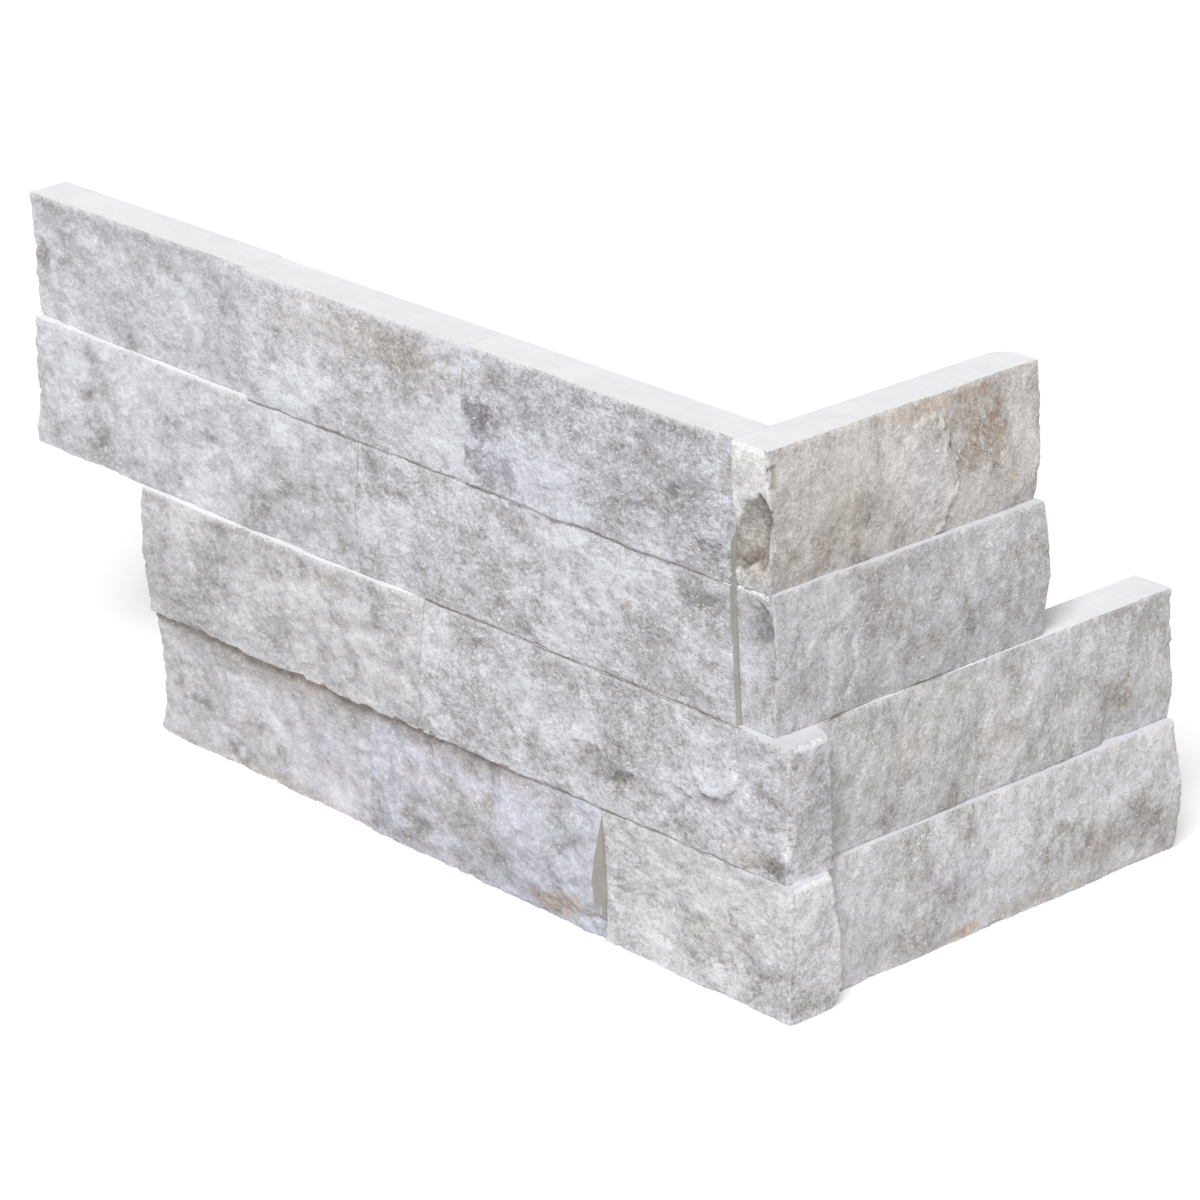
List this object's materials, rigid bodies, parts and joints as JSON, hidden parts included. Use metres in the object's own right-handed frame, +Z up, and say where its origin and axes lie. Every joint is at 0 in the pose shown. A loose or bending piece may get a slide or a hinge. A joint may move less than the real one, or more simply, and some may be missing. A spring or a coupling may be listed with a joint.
{
  "type": "stacked stone ledger corner",
  "caption": "L-shaped ledger corner of split white stone strips, glued in staggered courses with sawn backs and beds",
  "frame": {"origin": "foot of the wall corner, where the two sawn backs meet, at the level of the bottom bed", "axes": "+Z up; the long leg runs towards -X with its split face to -Y; the short leg runs towards +Y with its split face to +X"},
  "size_m": [0.3295, 0.1468, 0.15],
  "materials": {
    "split_stone": "natural split face, sawn beds and back"
  },
  "bodies": {
    "root": {"top_course_left_strip": "split_stone", "top_course_middle_strip": "split_stone", "top_course_right_strip": "split_stone", "top_course_return_strip": "split_stone", "second_course_left_strip": "split_stone", "second_course_right_strip": "split_stone", "second_course_return_strip": "split_stone", "third_course_left_strip": "split_stone", "third_course_corner_strip": "split_stone", "third_course_return_strip": "split_stone", "bottom_course_left_strip": "split_stone", "bottom_course_middle_strip": "split_stone", "bottom_course_corner_strip": "split_stone", "bottom_course_return_strip": "split_stone"}
  },
  "joints": []
}
